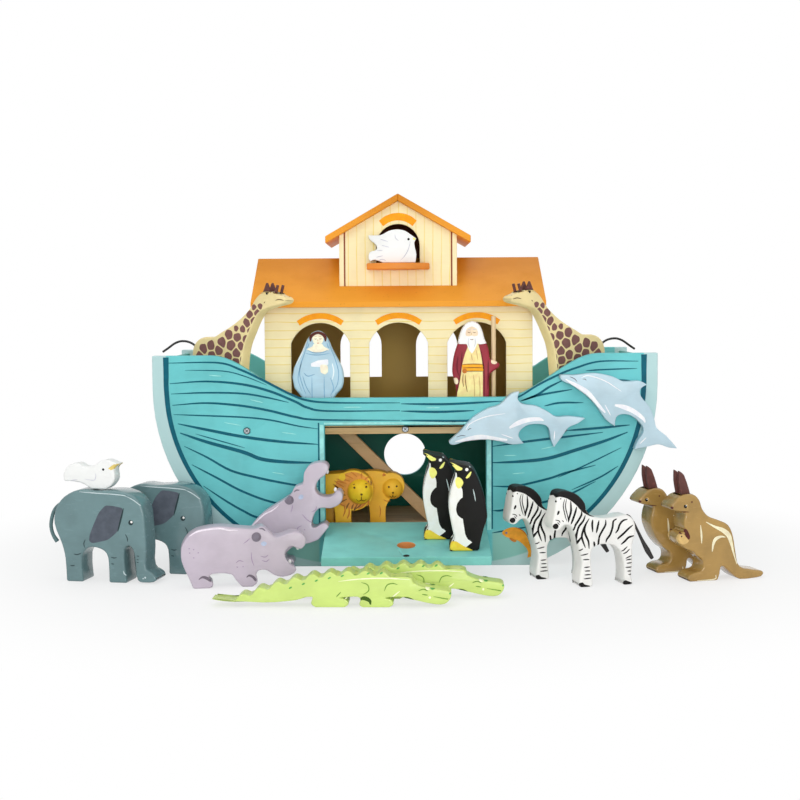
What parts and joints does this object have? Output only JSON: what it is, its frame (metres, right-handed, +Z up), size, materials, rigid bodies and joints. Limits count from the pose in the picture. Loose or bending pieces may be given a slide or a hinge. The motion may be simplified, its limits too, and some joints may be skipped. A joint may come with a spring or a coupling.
{
  "type": "toy ark play set",
  "caption": "Painted wooden toy ark with a hinged ramp door, a house with a gabled roof and dove loft, and loose flat cut-out animals and people.",
  "frame": {"origin": "middle of the hull's footprint on the floor the ark stands on", "axes": "+X along the hull to the right as seen from the doorway side, -Y out of the doorway towards the viewer, +Z up"},
  "size_m": [0.6679, 0.3765, 0.3652],
  "materials": {
    "hull_paint": "satin paint with brushed plank lines",
    "end_paint": "satin paint",
    "pine": "bare pine",
    "wall_paint": "satin paint with brushed plank lines",
    "roof_paint": "satin paint",
    "steel": "zinc plated",
    "magnet": "nickel plated, worn dark",
    "elephant_paint": "gloss paint",
    "hippo_paint": "satin paint",
    "crocodile_paint": "satin paint",
    "lion_paint": "satin paint",
    "penguin_paint": "gloss paint",
    "zebra_paint": "satin paint",
    "kangaroo_paint": "gloss paint",
    "giraffe_paint": "satin paint",
    "dolphin_paint": "satin paint",
    "dove_paint": "satin paint",
    "elder_paint": "satin paint",
    "veil_paint": "satin paint",
    "dark_leather": "dyed black",
    "grey_leather": "painted grey",
    "brown_leather": "dyed maroon brown"
  },
  "bodies": {
    "ark": {"hull_front": "hull_paint", "hull_back": "hull_paint", "hull_floor": "pine", "deck": "pine", "bow_plank": "end_paint", "stern_plank": "end_paint", "diagonal_brace": "pine", "panel_screws": "steel", "catch_screw": "steel", "hinge_pins": "steel", "house_front": "wall_paint", "house_back": "wall_paint", "house_end_left": "wall_paint", "house_end_right": "wall_paint", "roof_front": "roof_paint", "roof_back": "roof_paint", "loft_front": "wall_paint", "loft_back": "wall_paint", "loft_side_left": "wall_paint", "loft_side_right": "wall_paint", "loft_roof_left": "roof_paint", "loft_roof_right": "roof_paint", "perch": "roof_paint"},
    "ramp": {"ramp": "hull_paint", "ramp_magnet": "magnet"},
    "elephant_a_figure": {"elephant_a": "elephant_paint", "elephant_a_tail": "grey_leather"},
    "elephant_b_figure": {"elephant_b": "elephant_paint", "elephant_b_tail": "grey_leather"},
    "zebra_a_figure": {"zebra_a": "zebra_paint", "zebra_a_tail": "dark_leather"},
    "zebra_b_figure": {"zebra_b": "zebra_paint", "zebra_b_tail": "dark_leather"},
    "kangaroo_a_figure": {"kangaroo_a": "kangaroo_paint", "kangaroo_a_ears": "brown_leather"},
    "kangaroo_b_figure": {"kangaroo_b": "kangaroo_paint", "kangaroo_b_ears": "brown_leather"},
    "giraffe_a_figure": {"giraffe_a": "giraffe_paint", "giraffe_a_ears": "brown_leather", "giraffe_a_tail": "dark_leather"},
    "giraffe_b_figure": {"giraffe_b": "giraffe_paint", "giraffe_b_ears": "brown_leather", "giraffe_b_tail": "dark_leather"},
    "hippo_a_figure": {"hippo_a": "hippo_paint"},
    "hippo_b_figure": {"hippo_b": "hippo_paint"},
    "crocodile_a_figure": {"crocodile_a": "crocodile_paint"},
    "crocodile_b_figure": {"crocodile_b": "crocodile_paint"},
    "lion_figure": {"lion": "lion_paint"},
    "lioness_figure": {"lioness": "lion_paint"},
    "penguin_a_figure": {"penguin_a": "penguin_paint"},
    "penguin_b_figure": {"penguin_b": "penguin_paint"},
    "dolphin_a_figure": {"dolphin_a": "dolphin_paint"},
    "dolphin_b_figure": {"dolphin_b": "dolphin_paint"},
    "dove_a_figure": {"dove_a": "dove_paint"},
    "dove_b_figure": {"dove_b": "dove_paint"},
    "elder_figure": {"elder": "elder_paint", "elder_staff": "pine"},
    "veil_figure": {"veiled_figure": "veil_paint"}
  },
  "joints": [
    {"name": "ramp_hinge", "type": "hinge", "parent": "ark", "child": "ramp", "pos_m": [0, -0.0905, 0.03825], "axis": [-1, 0, 0], "range_deg": [0, 99.5]},
    {"name": "elephant_a_lift", "type": "slide", "parent": "ark", "child": "elephant_a_figure", "axis": [0, 0, 1], "range_m": [0, 0.06]},
    {"name": "elephant_b_lift", "type": "slide", "parent": "ark", "child": "elephant_b_figure", "axis": [0, 0, 1], "range_m": [0, 0.06]},
    {"name": "hippo_a_lift", "type": "slide", "parent": "ark", "child": "hippo_a_figure", "axis": [0, 0, 1], "range_m": [0, 0.06]},
    {"name": "crocodile_a_lift", "type": "slide", "parent": "ark", "child": "crocodile_a_figure", "axis": [0, 0, 1], "range_m": [0, 0.06]},
    {"name": "crocodile_b_lift", "type": "slide", "parent": "ark", "child": "crocodile_b_figure", "axis": [0, 0, 1], "range_m": [0, 0.06]},
    {"name": "zebra_a_lift", "type": "slide", "parent": "ark", "child": "zebra_a_figure", "axis": [0, 0, 1], "range_m": [0, 0.06]},
    {"name": "zebra_b_lift", "type": "slide", "parent": "ark", "child": "zebra_b_figure", "axis": [0, 0, 1], "range_m": [0, 0.06]},
    {"name": "kangaroo_a_lift", "type": "slide", "parent": "ark", "child": "kangaroo_a_figure", "axis": [0, 0, 1], "range_m": [0, 0.06]},
    {"name": "kangaroo_b_lift", "type": "slide", "parent": "ark", "child": "kangaroo_b_figure", "axis": [0, 0, 1], "range_m": [0, 0.06]},
    {"name": "lion_lift", "type": "slide", "parent": "ark", "child": "lion_figure", "axis": [0, 0, 1], "range_m": [0, 0.03]},
    {"name": "lioness_lift", "type": "slide", "parent": "ark", "child": "lioness_figure", "axis": [0, 0, 1], "range_m": [0, 0.03]},
    {"name": "giraffe_a_lift", "type": "slide", "parent": "ark", "child": "giraffe_a_figure", "axis": [-0.8, 0, 0.6], "range_m": [0, 0.02]},
    {"name": "giraffe_b_lift", "type": "slide", "parent": "ark", "child": "giraffe_b_figure", "axis": [0.8, 0, 0.6], "range_m": [0, 0.02]},
    {"name": "dove_a_lift", "type": "slide", "parent": "elephant_a_figure", "child": "dove_a_figure", "axis": [0, 0, 1], "range_m": [0, 0.05]},
    {"name": "dove_b_lift", "type": "slide", "parent": "ark", "child": "dove_b_figure", "axis": [0, 0, 1], "range_m": [0, 0.01]},
    {"name": "dolphin_b_lift", "type": "slide", "parent": "ark", "child": "dolphin_b_figure", "axis": [0, 0, 1], "range_m": [0, 0.05]},
    {"name": "elder_lift", "type": "slide", "parent": "ark", "child": "elder_figure", "axis": [0, 0, 1], "range_m": [0, 0.008]},
    {"name": "veil_lift", "type": "slide", "parent": "ark", "child": "veil_figure", "axis": [0, 0, 1], "range_m": [0, 0.02]},
    {"name": "penguin_a_lift", "type": "slide", "parent": "ark", "child": "penguin_a_figure", "axis": [0, 0, 1], "range_m": [0, 0.21]},
    {"name": "penguin_b_lift", "type": "slide", "parent": "ark", "child": "penguin_b_figure", "axis": [0, 0, 1], "range_m": [0, 0.21]},
    {"name": "hippo_b_lift", "type": "slide", "parent": "ark", "child": "hippo_b_figure", "axis": [0, 0, 1], "range_m": [0, 0.14]},
    {"name": "dolphin_a_lift", "type": "slide", "parent": "ark", "child": "dolphin_a_figure", "axis": [-0.7071, 0, 0.7071], "range_m": [0, 0.09]}
  ],
  "couplings": [
    {"joint": "penguin_a_lift", "follows": "ramp_hinge", "m_per_rad": 0.12},
    {"joint": "penguin_b_lift", "follows": "ramp_hinge", "m_per_rad": 0.12},
    {"joint": "hippo_b_lift", "follows": "ramp_hinge", "m_per_rad": 0.08},
    {"joint": "dolphin_a_lift", "follows": "ramp_hinge", "m_per_rad": 0.05}
  ]
}
